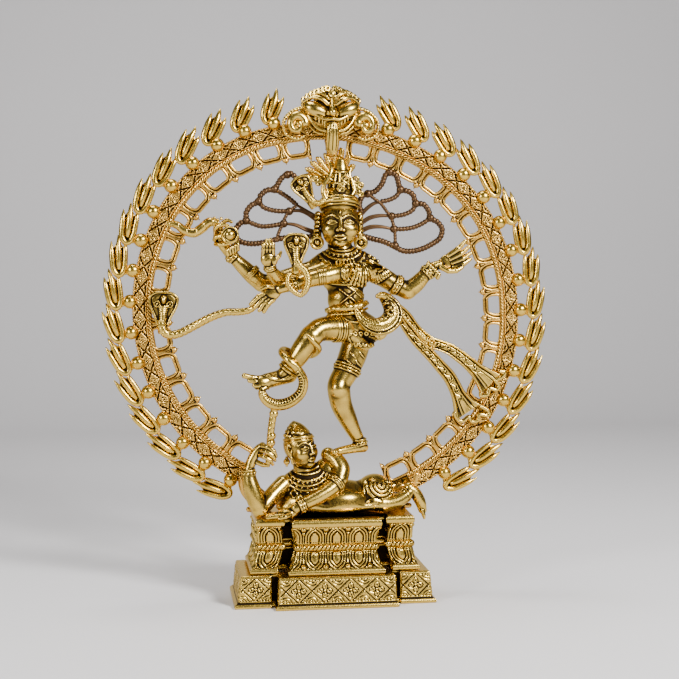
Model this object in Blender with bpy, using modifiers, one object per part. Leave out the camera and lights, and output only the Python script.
"""Brass nataraja statue: a dancing figure in a flame ring, on a dwarf, on a stepped lotus pedestal.

Run with blender --background --python part.py. Lengths are written in millimetres and scaled by MM to metres.
X is the viewer's right, Y points away from the viewer, Z is up. The foot of the pedestal is at Z = 0.
"""

import math

import bmesh
import bpy
from mathutils import Matrix, Vector
from mathutils.bvhtree import BVHTree

MM = 0.001

# Joints between castings
GAP = 0.35
WALL = 3.5

# Aureole ring
RING_Z = 261.0
RING_Y = 8.0
RING_DEPTH = 5.0
BAND_OUTER = 177.0
BAND_INNER = 161.0
GALLERY_INNER = 148.0
RAIL = 2.4
BEAD_RADIUS = 5.1
BEAD_CIRCLE = 182.6
FLAME_ROOT = 182.0
FLAME_TIP = 203.5
FLAMES_LEFT = 16
FLAMES_RIGHT = 15
FIRST_BEAD_LEFT = 107.0
FIRST_BEAD_RIGHT = 72.0
PITCH_LEFT = 8.83
PITCH_RIGHT = 9.07
CROWN_ARC = 10.5
BAND_END_LEFT = 243.0
BAND_END_RIGHT = -65.0
STRIPS_PER_SIDE = 4
ARCS_PER_SIDE = 3
WINDOWS_PER_ARC = 5

# Pedestal: (Z, centre half width, centre front, side inner, side outer, side front, notch front)
PLINTH_TOP = 28.5
LOWER_LOTUS_TOP = 49.0
ROPE_TOP = 55.5
UPPER_LOTUS_TOP = 71.0
SLAB_TOP = 78.0
RIM_LEVEL = (55.8, 48.0, 57.5, 90.0, 37.5, 35.0)
PLINTH_FOOT = (53.5, 46.5, 57.0, 86.0, 35.5, 32.0)
PLINTH_HEAD = (52.8, 46.0, 57.0, 84.5, 34.5, 32.0)
LOTUS_FOOT = (44.0, 42.5, 50.0, 76.0, 31.5, 22.0)
LOTUS_WAIST = (36.0, 36.5, 45.0, 69.0, 27.5, 20.0)
LOTUS_HEAD = (41.0, 41.5, 48.0, 70.0, 31.0, 21.0)
SLAB_LEVEL = (42.0, 42.5, 45.0, 71.0, 32.0, 28.0)

BRASS = (0.62, 0.43, 0.16, 1.0)
DARK_BRASS = (0.33, 0.21, 0.08, 1.0)
COPPERY = (0.52, 0.31, 0.12, 1.0)
STEEL = (0.45, 0.45, 0.47, 1.0)


def clear_scene():
    for item in list(bpy.data.objects):
        bpy.data.objects.remove(item, do_unlink=True)


def make_material(name, color, roughness, metallic=1.0):
    material = bpy.data.materials.new(name)
    material.use_nodes = True
    shader = material.node_tree.nodes["Principled BSDF"]
    shader.inputs["Base Color"].default_value = color
    shader.inputs["Roughness"].default_value = roughness
    shader.inputs["Metallic"].default_value = metallic
    return material


def point(x, y, z):
    return Vector((x, y, z)) * MM


def link(item):
    OBJECT_COLLECTION.objects.link(item)
    return item


def from_bmesh(name, shape):
    mesh = bpy.data.meshes.new(name)
    bmesh.ops.recalc_face_normals(shape, faces=shape.faces)
    shape.to_mesh(mesh)
    shape.free()
    return link(bpy.data.objects.new(name, mesh))


def from_curve(name, curve, placing=Matrix.Identity(4)):
    """A curve as a closed mesh in world space."""
    helper = link(bpy.data.objects.new(name + "_curve", curve))
    graph = bpy.context.evaluated_depsgraph_get()
    mesh = bpy.data.meshes.new_from_object(helper.evaluated_get(graph))
    bpy.data.objects.remove(helper)
    bpy.data.curves.remove(curve)
    shape = bmesh.new()
    shape.from_mesh(mesh)
    bpy.data.meshes.remove(mesh)
    bmesh.ops.remove_doubles(shape, verts=shape.verts, dist=0.01 * MM)
    bmesh.ops.transform(shape, matrix=placing, verts=shape.verts)
    return from_bmesh(name, shape)


def smooth_route(stations, steps):
    """Catmull-Rom points and radii through (x, y, z, radius) stations."""
    rows = [Vector(s) for s in stations]
    rows = [2 * rows[0] - rows[1]] + rows + [2 * rows[-1] - rows[-2]]
    route = []
    for i in range(1, len(rows) - 2):
        a, b, c, d = rows[i - 1 : i + 3]
        for step in range(steps):
            t = step / steps
            route.append(
                0.5 * (2 * b + (c - a) * t + (2 * a - 5 * b + 4 * c - d) * t**2 + (3 * b - a - 3 * c + d) * t**3)
            )
    return route + [rows[-2]]


def tube(name, stations, steps=2, sides=2):
    """A limb, strand or snake: a round section that follows its stations."""
    curve = bpy.data.curves.new(name, "CURVE")
    curve.dimensions = "3D"
    curve.bevel_depth = MM
    curve.bevel_resolution = sides
    curve.use_fill_caps = True
    route = smooth_route(stations, steps)
    spline = curve.splines.new("POLY")
    spline.points.add(len(route) - 1)
    for target, station in zip(spline.points, route):
        target.co = (*(Vector(station[:3]) * MM), 1.0)
        target.radius = station[3]
    return from_curve(name, curve)


def ball(name, centre, radii, tilt=(0.0, 0.0, 0.0), segments=14):
    shape = bmesh.new()
    bmesh.ops.create_uvsphere(shape, u_segments=segments, v_segments=max(6, segments * 5 // 8), radius=1.0)
    turn = Matrix.Rotation(tilt[2], 4, "Z") @ Matrix.Rotation(tilt[1], 4, "Y") @ Matrix.Rotation(tilt[0], 4, "X")
    size = Matrix.Diagonal((*(r * MM for r in radii), 1.0))
    bmesh.ops.transform(shape, matrix=Matrix.Translation(point(*centre)) @ turn @ size, verts=shape.verts)
    return from_bmesh(name, shape)


def bead(name, centre, radius):
    shape = bmesh.new()
    bmesh.ops.create_icosphere(shape, subdivisions=2, radius=radius * MM)
    bmesh.ops.translate(shape, vec=point(*centre), verts=shape.verts)
    return from_bmesh(name, shape)


def turned(name, centre, profile, segments=20, axis="Z"):
    """A lathe-turned shape from (radius, height) pairs, top to bottom."""
    mesh = bpy.data.meshes.new(name)
    mesh.from_pydata(
        [(r * MM, 0.0, h * MM) for r, h in profile], [(i, i + 1) for i in range(len(profile) - 1)], []
    )
    item = link(bpy.data.objects.new(name, mesh))
    screw = item.modifiers.new("turn", "SCREW")
    screw.steps = segments
    screw.render_steps = segments
    screw.use_merge_vertices = True
    screw.merge_threshold = 0.00001
    apply_modifiers(item)
    shape = bmesh.new()
    shape.from_mesh(item.data)
    turn = {"Z": Matrix.Identity(4), "Y": Matrix.Rotation(math.pi / 2, 4, "X")}[axis]
    bmesh.ops.transform(shape, matrix=Matrix.Translation(point(*centre)) @ turn, verts=shape.verts)
    bpy.data.objects.remove(item)
    return from_bmesh(name, shape)


def plate(name, outlines, y, depth):
    """A flat piece in the XZ plane. The first outline is its edge, and the rest are holes."""
    curve = bpy.data.curves.new(name, "CURVE")
    curve.dimensions = "2D"
    curve.fill_mode = "BOTH"
    curve.extrude = depth * MM / 2
    for outline in outlines:
        spline = curve.splines.new("POLY")
        spline.points.add(len(outline) - 1)
        spline.use_cyclic_u = True
        for target, (x, z) in zip(spline.points, outline):
            target.co = (x * MM, z * MM, 0.0, 1.0)
    placing = Matrix.Translation(point(0, y, 0)) @ Matrix.Rotation(math.pi / 2, 4, "X")
    return from_curve(name, curve, placing)


def ribbon_outline(stations):
    """The outline of a strip of varying width: stations are (x, z, half width)."""
    route = smooth_route([(x, z, 0.0, w) for x, z, w in stations], 3)
    left, right = [], []
    for i, station in enumerate(route):
        ahead, behind = route[min(i + 1, len(route) - 1)], route[max(i - 1, 0)]
        along = Vector((ahead[0] - behind[0], ahead[1] - behind[1])).normalized()
        left.append((station[0] - along.y * station[3], station[1] + along.x * station[3]))
        right.append((station[0] + along.y * station[3], station[1] - along.x * station[3]))
    return left + right[::-1]


def apply_modifiers(item):
    graph = bpy.context.evaluated_depsgraph_get()
    mesh = bpy.data.meshes.new_from_object(item.evaluated_get(graph))
    item.modifiers.clear()
    old = item.data
    item.data = mesh
    bpy.data.meshes.remove(old)


def is_closed(mesh):
    shape = bmesh.new()
    shape.from_mesh(mesh)
    closed = len(shape.faces) > 0 and all(len(edge.link_faces) == 2 for edge in shape.edges)
    shape.free()
    return closed


def combine(item, tool, operation):
    """Joins or cuts. A tool whose seams cross each other needs the solver's self test, so it is tried second."""
    before = item.data.copy()
    for self_test in (False, True):
        boolean = item.modifiers.new("combine", "BOOLEAN")
        boolean.solver = "EXACT"
        boolean.operation = operation
        boolean.use_self = self_test
        boolean.object = tool
        apply_modifiers(item)
        if is_closed(item.data):
            break
        if not self_test:
            old = item.data
            item.data = before.copy()
            bpy.data.meshes.remove(old)
    bpy.data.meshes.remove(before)
    bpy.data.objects.remove(tool)


def union(name, pieces):
    body = pieces[0]
    for piece in pieces[1:]:
        combine(body, piece, "UNION")
    body.name = name
    return body


def on_ring(angle, radius):
    a = math.radians(angle)
    return radius * math.cos(a), RING_Z + radius * math.sin(a)


def arc_points(start, end, radius, count):
    return [on_ring(start + (end - start) * i / count, radius) for i in range(count + 1)]


# Pedestal


def stepped_plan(level, z):
    """One level of the pedestal: a centre block, a notch and a side block, mirrored to all four quarters."""
    centre, centre_front, side_inner, side_outer, side_front, notch = level
    quarter = [
        (centre, -centre_front),
        (centre, -notch),
        (side_inner, -notch),
        (side_inner, -side_front),
        (side_outer, -side_front),
    ]
    right = quarter + [(x, -y) for x, y in quarter[::-1]]
    outline = right + [(-x, y) for x, y in right[::-1]]
    return [point(x, y, z) for x, y in outline]


def stacked(name, levels):
    """A solid whose section steps through the (z, level) pairs, bottom to top."""
    shape = bmesh.new()
    rings = [[shape.verts.new(p) for p in stepped_plan(level, z)] for z, level in levels]
    for low, high in zip(rings, rings[1:]):
        for i in range(len(low)):
            j = (i + 1) % len(low)
            shape.faces.new((low[i], low[j], high[j], high[i]))
    shape.faces.new(rings[0][::-1])
    shape.faces.new(rings[-1])
    return from_bmesh(name, shape)


def inset(level):
    centre, centre_front, side_inner, side_outer, side_front, notch = level
    return (centre - WALL, centre_front - WALL, side_inner + WALL, side_outer - WALL, side_front - WALL, notch - WALL)


def tier(name, levels, cavity):
    """A tier of the pedestal, hollow from below through (z, level) pairs."""
    body = stacked(name, levels)
    combine(body, stacked(name + "_core", [(z, inset(level)) for z, level in cavity]), "DIFFERENCE")
    return body


def make_pedestal():
    over = 1.0
    plinth = tier(
        "plinth",
        [(0, RIM_LEVEL), (3.2, RIM_LEVEL), (3.8, PLINTH_FOOT), (PLINTH_TOP, PLINTH_HEAD)],
        [(-over, PLINTH_HEAD), (PLINTH_TOP - WALL, PLINTH_HEAD)],
    )
    mouth = stacked("plinth_mouth", [(z, inset(LOTUS_WAIST)) for z in (PLINTH_TOP - 2 * WALL, PLINTH_TOP + over)])
    combine(plinth, mouth, "DIFFERENCE")
    lower = tier(
        "lower_lotus",
        [(PLINTH_TOP + GAP, LOTUS_FOOT), (PLINTH_TOP + 4.0, LOTUS_FOOT), (LOWER_LOTUS_TOP, LOTUS_WAIST)],
        [(PLINTH_TOP - over, LOTUS_WAIST), (LOWER_LOTUS_TOP + over, LOTUS_WAIST)],
    )
    cord = tuple(value + (1.8 if i not in (2, 5) else 0.0) for i, value in enumerate(LOTUS_WAIST))
    rope = tier(
        "rope_moulding",
        [(LOWER_LOTUS_TOP + GAP, LOTUS_WAIST), (LOWER_LOTUS_TOP + 2.2, cord), (ROPE_TOP - 2.2, cord), (ROPE_TOP, LOTUS_WAIST)],
        [(LOWER_LOTUS_TOP - over, LOTUS_WAIST), (ROPE_TOP + over, LOTUS_WAIST)],
    )
    upper = tier(
        "upper_lotus",
        [(ROPE_TOP + GAP, LOTUS_WAIST), (UPPER_LOTUS_TOP - 3.0, LOTUS_HEAD), (UPPER_LOTUS_TOP, LOTUS_HEAD)],
        [(ROPE_TOP - over, LOTUS_WAIST), (UPPER_LOTUS_TOP + over, LOTUS_WAIST)],
    )
    slab = stacked("top_slab", [(UPPER_LOTUS_TOP + GAP, SLAB_LEVEL), (SLAB_TOP, SLAB_LEVEL)])
    return [plinth, lower, rope, upper, slab]


def make_bolts():
    """Four bolts, up through the top slab: two into the ring's feet and two into the dwarf."""
    profile = [(0, 22), (2.5, 22), (2.5, 0), (4.5, 0), (4.5, -3.2), (0, -3.2)]
    places = {
        "ring_bolt_left": (-60.0, RING_Y),
        "ring_bolt_right": (60.0, RING_Y),
        "dwarf_bolt_chest": (-22.0, -8.0),
        "dwarf_bolt_hips": (30.0, -2.0),
    }
    return [turned(name, (x, y, UPPER_LOTUS_TOP), profile, 12) for name, (x, y) in places.items()]


# Aureole ring


def band_arc(name, start, end):
    """Lattice band, rope edge and gallery over one stretch of the ring."""
    edge = arc_points(start, end, BAND_OUTER, 10) + arc_points(end, start, GALLERY_INNER, 8)
    outlines = [edge]
    pitch = (end - start) / WINDOWS_PER_ARC
    low, high = GALLERY_INNER + RAIL, BAND_INNER - RAIL / 2
    middle = (low + high) / 2
    for i in range(WINDOWS_PER_ARC):
        a = start + pitch * (i + 0.14)
        b = start + pitch * (i + 0.86)
        lean = pitch * 0.1
        corners = [(a + lean, low), (b - lean, low), (b, middle), (b - lean, high), (a + lean, high), (a, middle)]
        outlines.append([on_ring(angle, radius) for angle, radius in corners])
    return plate(name, outlines, RING_Y, RING_DEPTH)


def flame_strip(name, bead_angles, towards_top):
    """A run of beads and curled flames. towards_top is the sign of the angle that leads to the ring's top."""
    profile = [(-11.5, 183.0), (-11.0, 190.0), (-6.0, 197.5), (3.0, 201.5), (12.0, FLAME_TIP), (11.5, 197.0), (14.5, 191.0)]
    per_degree = FLAME_ROOT * math.pi / 180
    pitch = abs(bead_angles[1] - bead_angles[0])
    outer = []
    for angle in bead_angles:
        flame = [on_ring(angle + towards_top * t / per_degree, r) for t, r in profile]
        outer = flame + outer
    reach = 11.5 / per_degree
    low_end = bead_angles[-1] - towards_top * reach
    high_end = bead_angles[0] + towards_top * (pitch - reach - 0.6)
    inner = arc_points(high_end, low_end, BAND_OUTER + GAP, 12)
    pieces = [plate(name, [outer + inner], RING_Y, RING_DEPTH)]
    for i, angle in enumerate(bead_angles):
        x, z = on_ring(angle, BEAD_CIRCLE)
        pieces.append(bead(f"{name}_bead_{i}", (x, RING_Y - 0.5, z), BEAD_RADIUS))
    return union(name, pieces)


def make_ring():
    nodes = []
    sides = (
        ("left", FIRST_BEAD_LEFT, PITCH_LEFT, FLAMES_LEFT, -1, 90 + CROWN_ARC, BAND_END_LEFT),
        ("right", FIRST_BEAD_RIGHT, -PITCH_RIGHT, FLAMES_RIGHT, 1, 90 - CROWN_ARC, BAND_END_RIGHT),
    )
    for side, first, pitch, count, towards_top, start, end in sides:
        beads = [first + pitch * i for i in range(count)]
        for i in range(STRIPS_PER_SIDE):
            nodes.append(flame_strip(f"flames_{side}_{i + 1}", beads[4 * i : 4 * i + 4], towards_top))
        step = (end - start) / ARCS_PER_SIDE
        trim = math.copysign(0.1, step)
        for i in range(ARCS_PER_SIDE):
            nodes.append(band_arc(f"ring_{side}_{i + 1}", start + step * i + trim, start + step * (i + 1)))
    crown = arc_points(90 + CROWN_ARC, 90 - CROWN_ARC, BAND_OUTER, 6)
    crown += arc_points(90 - CROWN_ARC, 90 + CROWN_ARC, BAND_INNER, 6)
    post = tube("post", [(0, 7, 428, 5.5), (0, 6, 414, 5.5), (1, 4.5, 406, 5), (2, 4, 399, 4)], 2)
    nodes.append(union("ring_top", [plate("ring_top", [crown], RING_Y, RING_DEPTH), post]))
    for side, sign in (("left", -1), ("right", 1)):
        foot = [(54, 0.4), (70, 0.4), (86, 30.0), (84, 34.0), (74, 33.0), (66, 16.0), (54, 10.0)]
        outline = [(sign * x, SLAB_TOP + z) for x, z in foot]
        nodes.append(plate(f"ring_foot_{side}", [outline], RING_Y, RING_DEPTH + 5.0))
    return nodes


def make_ring_top():
    mask = union(
        "lion_mask",
        [
            ball("mask", (0, 4, 437), (22, 10, 19)),
            ball("cheek_left", (-14, 0, 438), (11, 9, 10)),
            ball("cheek_right", (14, 0, 438), (11, 9, 10)),
            ball("snout", (0, -4, 433), (9, 8, 9)),
            ball("mane", (0, 3, 450), (15, 8, 9)),
        ],
    )
    scrolls = [
        tube(f"mask_scroll_{side}", [(s * 20, 0, 436, 3), (s * 31, -2, 433, 5), (s * 36, -2, 423, 5.5), (s * 29, -2, 415, 5), (s * 23, -2, 421, 3)])
        for side, s in (("left", -1), ("right", 1))
    ]
    return [mask, *scrolls]


# Deity


def make_head():
    head = union(
        "head",
        [
            ball("skull", (7.5, -4, 338.5), (15.5, 15.5, 20), segments=20),
            tube("neck", [(8.5, -2, 322, 9.5), (9, -2, 313, 8.5), (9, -2, 303, 10)], 2),
        ],
    )
    crown = turned(
        "crown", (6.8, -2, 350), [(0, 46), (5, 45), (8, 36), (10, 26), (13.5, 22), (12, 16), (15.5, 12), (16.5, 5), (14, 1), (0, 1)]
    )
    fan = [(-6, 370), (-22, 385), (-17, 394), (-9, 400), (-1, 404), (8, 403), (16, 397), (20, 386), (18, 372)]
    crest = plate("feather_crest", [[(x, z) for x, z in fan]], 4, 7)
    crown_cobra = union(
        "crown_cobra",
        [
            tube("tail", [(0, -10, 362, 4), (-8, -10, 356, 3.5), (-15, -8, 355, 3), (-21, -6, 360, 4)], 2),
            ball("hood", (-25, -5, 368), (7.5, 3.5, 11), (0, -0.35, 0)),
        ],
    )
    earrings = [
        turned(f"earring_{side}", (x, -6, 322), [(0, 4), (4, 3.4), (5.6, 0), (4, -3.4), (0, -4)], 12, "Y")
        for side, x in (("left", -13.0), ("right", 26.5))
    ]
    return [head, crown, crest, crown_cobra, *earrings]


def hair_fan(name, sign, anchors, knots, cross):
    """Loops of braided hair: strands run out from the head to knots on a scalloped rim."""
    pieces = [tube(name, [(*a, 2.6) for a in knots], 3, 2)]
    for i, (start, end) in enumerate(anchors):
        middle = tuple((s + e) / 2 for s, e in zip(start, end))
        bow = (middle[0], middle[1], middle[2] + sign)
        pieces.append(tube(f"{name}_strand_{i}", [(*start, 2.2), (*bow, 2.2), (*end, 2.2)], 2, 2))
    pieces.append(tube(name + "_cross", [(*c, 1.9) for c in cross], 2, 2))
    return union(name, pieces)


def make_hair():
    y = 5.0
    left_rim = [(-12, y, 350), (-33, y, 377), (-42, y, 385), (-53, y, 372), (-65, y, 359), (-77, y, 345), (-84, y, 334), (-79, y, 326), (-62, y, 323), (-12, y, 334)]
    right_rim = [(24, y, 352), (42, y, 375), (51, y, 388), (60, y, 370), (77, y, 360), (89, y, 345), (100, y, 334), (92, y, 325), (68, y, 318), (25, y, 334)]
    left = hair_fan(
        "hair_fan_left", 1.0,
        [((-12, y, 346), (-54, y, 371)), ((-12, y, 342), (-66, y, 358)), ((-12, y, 338), (-78, y, 344))],
        left_rim, [(-34, y, 372), (-45, y, 352), (-47, y, 340), (-49, y, 325)],
    )
    right = hair_fan(
        "hair_fan_right", -1.0,
        [((24, y, 348), (60, y, 369)), ((25, y, 343), (77, y, 359)), ((26, y, 338), (89, y, 344))],
        right_rim, [(38, y, 370), (49, y, 356), (55, y, 343), (55, y, 322)],
    )
    return [left, right]


def make_torso():
    torso = union(
        "torso",
        [
            ball("chest", (12, -3, 291), (23, 14, 17)),
            ball("waist", (13, -3, 271), (17.5, 12, 17)),
            ball("shoulder_right", (-9, -1, 298), (10, 9.5, 9)),
            ball("shoulder_left", (31, -1, 297), (11, 10, 10)),
        ],
    )
    hips = union(
        "hips",
        [
            ball("hips_body", (17, -4, 245), (24, 17, 16)),
            ball("hip_side", (31, -2, 242), (17, 13, 13)),
        ],
    )
    belt = tube("belt", [(-5, -10, 262, 3.5), (4, -16, 264, 4.2), (15, -18, 264, 4.5), (26, -16, 266, 4.2), (32, -10, 268, 3.5)], 3)
    return [torso, hips, belt]


def hand(name, palm, palm_size, tilt, fingers):
    pieces = [ball(name, palm, palm_size, tilt, 12)]
    for i, stations in enumerate(fingers):
        pieces.append(tube(f"{name}_finger_{i}", stations, 2, 1))
    return pieces


def make_arms():
    drum_arm = union(
        "drum_arm",
        [
            tube("drum_arm", [(-8, 1, 299, 9), (-34, 3, 292, 8.6), (-60, 4, 287, 8), (-77, 3, 298, 7.2), (-90, 2, 308, 5.8), (-98, 1, 320, 5)]),
            *hand("drum_hand", (-100, 0, 328), (6, 5, 9), (0, -0.3, 0), [[(-98, -2, 334, 2.4), (-93, -6, 338, 2.2), (-88, -7, 334, 1.8)]]),
        ],
    )
    drum = turned("drum", (-91, -6, 327), [(0, 7.5), (7, 7), (7, 5.5), (3.6, 0), (7, -5.5), (7, -7), (0, -7.5)], 12, "Y")
    ribbon = tube(
        "drum_ribbon",
        [(-103, 3, 336, 3.6), (-111, 3, 338, 4), (-118, 3, 331, 4), (-127, 4, 329, 3.8), (-134, 5, 335, 3.4), (-143, 6, 337, 2.8)], 3, 2,
    )
    blessing = union(
        "blessing_arm",
        [
            tube("blessing_arm", [(-8, -8, 296, 8.5), (-26, -11, 290, 8), (-44, -15, 286, 7.6), (-54, -20, 291, 6.8), (-58, -23, 297, 5.6), (-58, -25, 303, 4)]),
            *hand(
                "blessing_hand", (-58, -25, 307), (6.5, 4, 8), (0.1, 0, 0),
                [[(x, -26, 311, 1.9), (x + 0.4, -28, 318, 1.9), (x + 1, -29, 326 - abs(i - 1) * 1.5, 1.4)] for i, x in enumerate((-62, -59, -56, -53))],
            ),
        ],
    )
    crossing = union(
        "crossing_arm",
        [
            tube("crossing_arm", [(31, -9, 297, 9), (16, -17, 295, 8), (0, -21, 293, 7.5), (-18, -23, 290, 7.2), (-33, -24, 284, 6.2), (-43, -24, 281, 5), (-51, -24, 279, 3.5)]),
            *hand(
                "crossing_hand", (-55, -24, 278), (8, 3.6, 6), (0, -0.3, 0),
                [[(-60, -24, 280 - 3.2 * i, 1.9), (-66, -24, 275 - 3 * i, 1.8), (-70 + 1.5 * i, -24, 268 - 2 * i, 1.4)] for i in range(4)],
            ),
        ],
    )
    flame_arm = union(
        "flame_arm",
        [
            tube("flame_arm", [(33, 0, 297, 9.5), (50, -1, 288, 9), (68, -4, 277, 8.4), (80, -5, 286, 7.2), (89, -6, 297, 5.6), (95, -6, 300, 5), (101, -6, 302, 4)]),
            *hand(
                "flame_hand", (104, -6, 303), (8.5, 4.5, 7), (0, -0.35, 0),
                [[(104, -6, 306 - 2.5 * i, 2), (114, -6, 314 - 6 * i, 2), (121, -6, 321 - 8.5 * i, 1.4)] for i in range(4)],
            ),
        ],
    )
    return [drum, drum_arm, ribbon, blessing, crossing, flame_arm]


def cobra(name, body, hood, hood_size, tilt):
    return union(name, [tube(name, body, 3, 2), ball(name + "_hood", hood, hood_size, tilt, 12)])


def make_cobras():
    wrist = cobra(
        "wrist_cobra",
        [(-31, -33, 274, 2.5), (-27, -34, 281, 3.5), (-25, -35, 291, 4), (-30, -35, 299, 4), (-33, -34, 306, 4)],
        (-35, -33, 314), (8.8, 3.5, 13), (0, 0, 0),
    )
    long_cobra = cobra(
        "ring_cobra",
        [(-71, -19, 263, 2.6), (-79, -17, 260.5, 3), (-90, -13, 259.5, 3.2), (-105, -8, 256, 3.4), (-122, -2, 247, 3.6), (-136, 0, 239, 3.8), (-146, 0, 239, 3.8), (-151, 0, 247, 4)],
        (-150, 0, 260), (9.5, 3.6, 13), (0, 0, 0),
    )
    hip = cobra(
        "hip_cobra",
        [(21, -18, 258, 3), (29, -19, 248, 4), (39, -18, 241, 5), (50, -15, 242, 5.5), (59, -12, 249, 5.5), (62, -9, 259, 5), (56, -8, 268, 4.5)],
        (51, -9, 271), (8, 4, 7), (0, -0.6, 0),
    )
    return [wrist, long_cobra, hip]


def make_sash():
    upper = ribbon_outline([(56, 262, 4), (74, 246, 5.5), (91, 230, 6), (110, 222, 6), (127, 213, 6.5), (141, 202, 9), (152, 192, 13)])
    lower = ribbon_outline([(84, 240, 4), (92, 228, 5), (104, 213, 5.5), (112, 196, 6), (117, 182, 7), (127, 168, 12)])
    return [union("flying_sash", [plate("sash_upper", [upper], 2.2, 4), plate("sash_lower", [lower], 2.2, 3.8)])]


def make_legs():
    raised = union(
        "raised_leg",
        [
            tube("raised_leg", [(10, -12, 244, 11.5), (-2, -17, 243.5, 12), (-16, -24, 242, 11), (-24, -27, 235, 10), (-31, -26, 224, 9.5), (-40, -25, 214, 7.5), (-45, -24, 206, 6)]),
            tube("raised_foot", [(-40, -22, 202, 5.5), (-50, -23, 200, 5.5), (-62, -25, 200, 5), (-76, -27, 202, 3)], 2),
        ],
    )
    standing = union(
        "standing_leg",
        [
            tube("standing_leg", [(24, -3, 235, 13), (19, -5, 219, 13), (10, -10, 203, 11), (5, -12, 191, 10.5), (9, -9, 170, 10), (18, -6, 155, 8), (25, -4, 143, 6), (27, -4, 137, 6)]),
            tube("standing_foot", [(29, -4, 136, 5), (20, -8, 135.5, 4.6), (8, -14, 135, 4), (0, -18, 135, 3)], 2),
        ],
    )
    snake = union(
        "ankle_snake",
        [
            tube(
                "ankle_snake",
                [(-26, -37, 236, 2.6), (-20, -30, 227, 2.8), (-24, -18, 221, 2.8), (-38, -16, 222, 3), (-45, -24, 223, 3), (-42, -34, 216, 3.2), (-35, -34, 208, 3.4), (-32, -32, 197, 3.6), (-38, -30, 185, 4), (-51, -28, 178, 4.2), (-63, -28, 184, 4), (-66, -28, 190, 3)],
                3, 2,
            ),
            tube("snake_stem", [(-53, -28, 178, 3.4), (-56, -27, 160, 3.6), (-58, -26, 144, 3.4), (-59, -26, 126, 3.2)], 3, 2),
        ],
    )
    return [raised, standing, snake]


# Dwarf


def make_dwarf():
    body = union(
        "dwarf_body",
        [
            ball("dwarf_chest", (-20, -6, 103), (27, 18, 20)),
            ball("dwarf_shoulder", (-4, -6, 115), (14, 13, 15)),
            ball("dwarf_belly", (14, -4, 93), (22, 16, 14)),
            tube("dwarf_neck", [(-24, -10, 114, 9), (-28, -14, 124, 8.5)], 2),
        ],
    )
    head = union(
        "dwarf_head",
        [
            ball("dwarf_skull", (-29.5, -15, 138), (13.5, 13.5, 17), segments=20),
            ball("dwarf_cap", (-32, -12, 150), (11, 11, 11)),
        ],
    )
    cloth = ball("hip_cloth", (38, -2, 95), (17, 17, 16.5))
    right_arm = union(
        "dwarf_right_arm",
        [
            tube("dwarf_right_arm", [(-44, -10, 105, 8), (-56, -17, 95, 7.6), (-65, -24, 87, 6.8), (-71, -24, 98, 7.2), (-74, -23, 111, 5.8), (-74, -22, 121, 4.6), (-68, -22, 133, 4.4), (-62, -22, 141, 3.6)]),
            tube("dwarf_grip", [(-70, -22, 128, 4), (-64, -31, 136, 2.6), (-57, -32, 138, 2.4), (-52, -29, 134, 2)], 2),
        ],
    )
    left_arm = union(
        "dwarf_left_arm",
        [
            tube("dwarf_left_arm", [(-2, -12, 130, 7), (6, -17, 119, 8.2), (1, -24, 107, 7.6), (-14, -31, 97, 6.6), (-30, -35, 90, 5.4), (-38, -36, 87, 4.6)]),
            ball("dwarf_palm", (-49, -35, 82.5), (14, 6.5, 4.0)),
        ],
    )
    near_leg = union(
        "dwarf_near_leg",
        [
            tube("dwarf_near_leg", [(36, -12, 90, 9), (46, -12, 87, 8), (56, -9, 87.5, 6.5), (66, -6, 90, 5), (71, -4, 92, 4.6)]),
            tube("dwarf_near_foot", [(72, -4, 94, 4.6), (79, -4, 88, 4.2), (83, -4, 80, 3.4), (84, -4, 72, 2.4)], 2),
        ],
    )
    far_leg = union(
        "dwarf_far_leg",
        [
            tube("dwarf_far_leg", [(40, 12, 96, 8), (50, 20, 94, 6.5), (62, 22, 96, 5.6), (72, 22, 99, 4.6)]),
            tube("dwarf_far_foot", [(72, 22, 101, 4.4), (79, 22, 95, 4), (83, 22, 87, 3)], 2),
        ],
    )
    return [body, head, cloth, right_arm, left_arm, near_leg, far_leg]


# Fitting the castings to each other


def tree_of(item):
    shape = bmesh.new()
    shape.from_mesh(item.data)
    tree = BVHTree.FromBMesh(shape)
    shape.free()
    return tree


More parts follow.
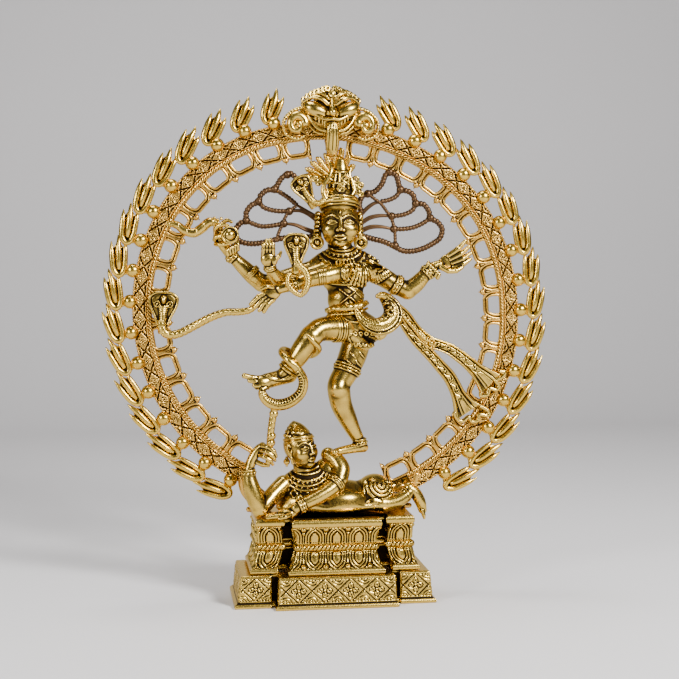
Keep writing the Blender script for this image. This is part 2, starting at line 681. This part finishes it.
def swollen(item):
    """A copy pushed out by the gap, to cut a neighbour's seat."""
    shape = bmesh.new()
    shape.from_mesh(item.data)
    shape.normal_update()
    moves = [(vert, vert.normal.copy()) for vert in shape.verts]
    for vert, normal in moves:
        vert.co += normal * GAP * MM
    return from_bmesh(item.name + "_seat", shape)


def keep_largest(item):
    """Drops the slivers that a seat cut can leave beside the main body."""
    shape = bmesh.new()
    shape.from_mesh(item.data)
    left = set(shape.verts)
    islands = []
    while left:
        stack = [left.pop()]
        island = set(stack)
        while stack:
            for edge in stack.pop().link_edges:
                for vert in edge.verts:
                    if vert in left:
                        left.discard(vert)
                        island.add(vert)
                        stack.append(vert)
        islands.append(island)
    islands.sort(key=len, reverse=True)
    scraps = [vert for island in islands[1:] for vert in island]
    bmesh.ops.delete(shape, geom=scraps, context="VERTS")
    shape.to_mesh(item.data)
    shape.free()


def fit_together(nodes):
    """Each casting is cut back, by the gap, where it meets one that comes before it."""
    done = []
    for item in nodes:
        for other in done:
            seat = swollen(other)
            if tree_of(item).overlap(tree_of(seat)):
                combine(item, seat, "DIFFERENCE")
            else:
                bpy.data.objects.remove(seat)
        keep_largest(item)
        done.append(item)


def finish_surface(nodes, materials):
    dark = ("hair_fan",)
    coppery = ("ring_", "flames_", "rope_moulding")
    for item in nodes:
        if "bolt" in item.name:
            choice = "bolt_steel"
        elif item.name.startswith(dark):
            choice = "dark_brass"
        elif item.name.startswith(coppery):
            choice = "coppery_brass"
        else:
            choice = "brass"
        item.data.materials.clear()
        item.data.materials.append(materials[choice])
        item.data.shade_smooth()
        item.data.set_sharp_from_angle(angle=math.radians(35))


def main():
    materials = {
        "brass": make_material("brass", BRASS, 0.3),
        "dark_brass": make_material("dark_brass", DARK_BRASS, 0.45),
        "coppery_brass": make_material("coppery_brass", COPPERY, 0.35),
        "bolt_steel": make_material("bolt_steel", STEEL, 0.4),
    }
    nodes = make_bolts() + make_pedestal() + make_ring()
    nodes += make_torso() + make_head() + make_legs() + make_arms()
    nodes += make_dwarf() + make_cobras() + make_ring_top() + make_hair() + make_sash()
    fit_together(nodes)
    finish_surface(nodes, materials)


clear_scene()
OBJECT_COLLECTION = bpy.data.collections.new("nataraja_statue")
bpy.context.scene.collection.children.link(OBJECT_COLLECTION)
main()
